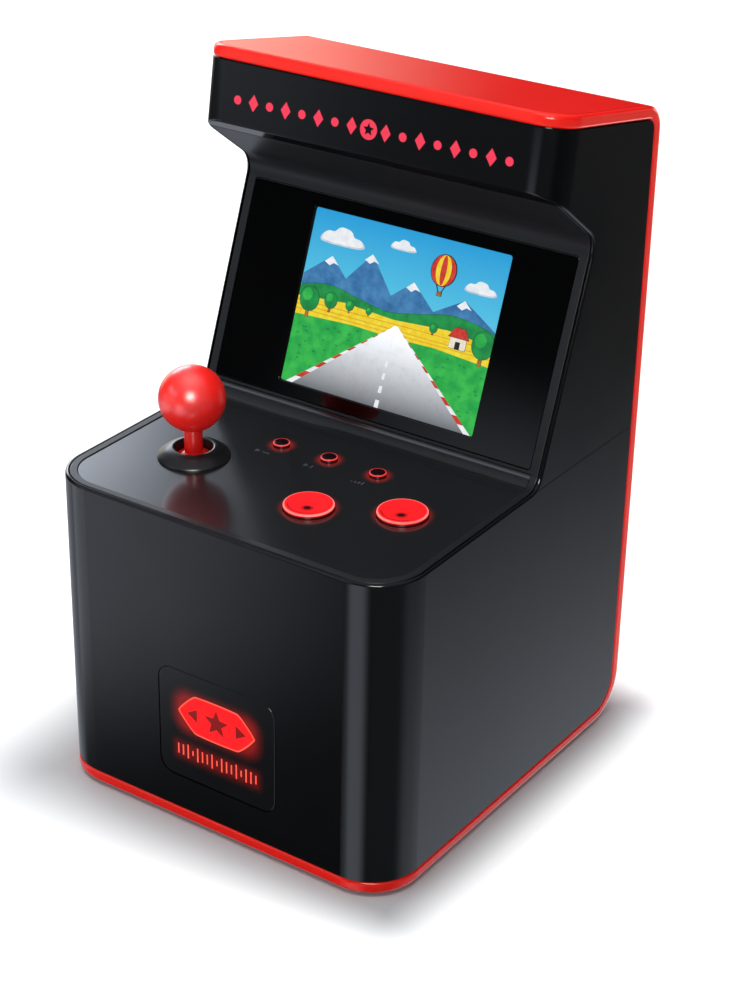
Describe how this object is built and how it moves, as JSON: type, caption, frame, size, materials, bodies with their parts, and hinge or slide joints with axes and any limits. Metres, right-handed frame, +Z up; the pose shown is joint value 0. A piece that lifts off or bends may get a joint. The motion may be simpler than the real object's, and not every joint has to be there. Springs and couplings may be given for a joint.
{
  "type": "bartop arcade cabinet",
  "caption": "Miniature bartop arcade cabinet: black shells in a red rear wrap, tilted colour screen under a marquee, ball-top stick, lit push buttons and a rear battery door.",
  "frame": {"origin": "on the surface the cabinet stands on, under the middle of its outline", "axes": "+X to the player's right, +Y from the front to the back, +Z up"},
  "size_m": [0.0848, 0.0922, 0.1464],
  "materials": {
    "case_black": "satin moulded plastic",
    "wrap_red": "glossy moulded plastic",
    "fascia_charcoal": "fine matt moulded plastic",
    "panel_black": "polished plastic overlay",
    "lens_black": "back-printed clear acrylic",
    "display_face": "lit colour display",
    "stick_red": "glossy moulded plastic",
    "bezel_black": "polished black plastic",
    "button_red": "lit translucent plastic",
    "badge_smoke": "smoked translucent plastic",
    "inner_black": "moulded plastic",
    "gimbal_white": "acetal",
    "silicone": "silicone",
    "foot_rubber": "moulded rubber",
    "board_green": "solder mask on glass laminate",
    "chip_black": "moulded packages",
    "light_chip": "light chips",
    "screw_steel": "zinc plated",
    "contact_nickel": "nickel plated",
    "speaker_grey": "paper cone and steel basket",
    "cell_wrap": "printed steel can",
    "ribbon_white": "flat cable",
    "wire_red": "wire sleeve",
    "wire_black": "wire sleeve"
  },
  "bodies": {
    "case": {"lower_shell": "case_black", "upper_shell": "case_black", "rear_wrap": "wrap_red", "fascia": "fascia_charcoal", "control_panel": "panel_black", "screen_lens": "lens_black", "display_panel": "display_face", "joystick_bezel": "bezel_black", "badge_plate": "badge_smoke", "battery_tray": "inner_black", "joystick_housing": "inner_black", "display_bracket": "inner_black", "headphone_jack": "inner_black", "power_switch_body": "inner_black", "button_membrane": "silicone", "joystick_pad": "silicone", "rubber_foot_1": "foot_rubber", "rubber_foot_2": "foot_rubber", "rubber_foot_3": "foot_rubber", "rubber_foot_4": "foot_rubber", "control_board": "board_green", "main_board": "board_green", "joystick_board": "board_green", "socket_board": "board_green", "badge_light_board": "board_green", "main_board_chips": "chip_black", "button_lights": "light_chip", "badge_lights": "light_chip", "case_screws": "screw_steel", "control_board_screws": "screw_steel", "display_screws": "screw_steel", "main_board_screws": "screw_steel", "battery_contacts": "contact_nickel", "usb_socket": "contact_nickel", "speaker": "speaker_grey", "battery_cell_1": "cell_wrap", "battery_cell_2": "cell_wrap", "battery_cell_3": "cell_wrap", "battery_cell_4": "cell_wrap", "control_ribbon": "ribbon_white", "battery_lead_red": "wire_red", "speaker_lead_red": "wire_red", "battery_lead_black": "wire_black", "speaker_lead_black": "wire_black"},
    "gimbal": {"gimbal_ring": "gimbal_white"},
    "stick": {"joystick_shaft": "stick_red", "joystick_ball": "stick_red"},
    "slider": {"power_slider": "inner_black"},
    "door": {"battery_door": "wrap_red"},
    "action_button_left_body": {"action_button_left": "button_red"},
    "action_button_right_body": {"action_button_right": "button_red"},
    "menu_button_left_body": {"menu_button_left": "button_red"},
    "menu_button_middle_body": {"menu_button_middle": "button_red"},
    "menu_button_right_body": {"menu_button_right": "button_red"}
  },
  "joints": [
    {"name": "stick_pitch", "type": "hinge", "parent": "case", "child": "gimbal", "pos_m": [-0.0229, -0.02202, 0.06562], "axis": [1, 0, 0], "range_deg": [-10, 10], "stiffness_Nm_per_rad": 0.02},
    {"name": "stick_roll", "type": "hinge", "parent": "gimbal", "child": "stick", "pos_m": [-0.0229, -0.02202, 0.06562], "axis": [0, 0.9998, 0.0176], "range_deg": [-10, 10], "stiffness_Nm_per_rad": 0.02},
    {"name": "action_button_left_press", "type": "slide", "parent": "case", "child": "action_button_left_body", "axis": [0, 0.0176, -0.9998], "range_m": [0, 0.0007], "stiffness_N_per_m": 400, "springref_m": -0.0005},
    {"name": "action_button_right_press", "type": "slide", "parent": "case", "child": "action_button_right_body", "axis": [0, 0.0176, -0.9998], "range_m": [0, 0.0007], "stiffness_N_per_m": 400, "springref_m": -0.0005},
    {"name": "menu_button_left_press", "type": "slide", "parent": "case", "child": "menu_button_left_body", "axis": [0, 0.0176, -0.9998], "range_m": [0, 0.0005], "stiffness_N_per_m": 400, "springref_m": -0.0005},
    {"name": "menu_button_middle_press", "type": "slide", "parent": "case", "child": "menu_button_middle_body", "axis": [0, 0.0176, -0.9998], "range_m": [0, 0.0005], "stiffness_N_per_m": 400, "springref_m": -0.0005},
    {"name": "menu_button_right_press", "type": "slide", "parent": "case", "child": "menu_button_right_body", "axis": [0, 0.0176, -0.9998], "range_m": [0, 0.0005], "stiffness_N_per_m": 400, "springref_m": -0.0005},
    {"name": "power_slide", "type": "slide", "parent": "case", "child": "slider", "axis": [1, 0, 0], "range_m": [0, 0.002]},
    {"name": "battery_door_swing", "type": "hinge", "parent": "case", "child": "door", "pos_m": [0, 0.0451, 0.0124], "axis": [-1, 0, 0], "range_deg": [0, 90]}
  ]
}
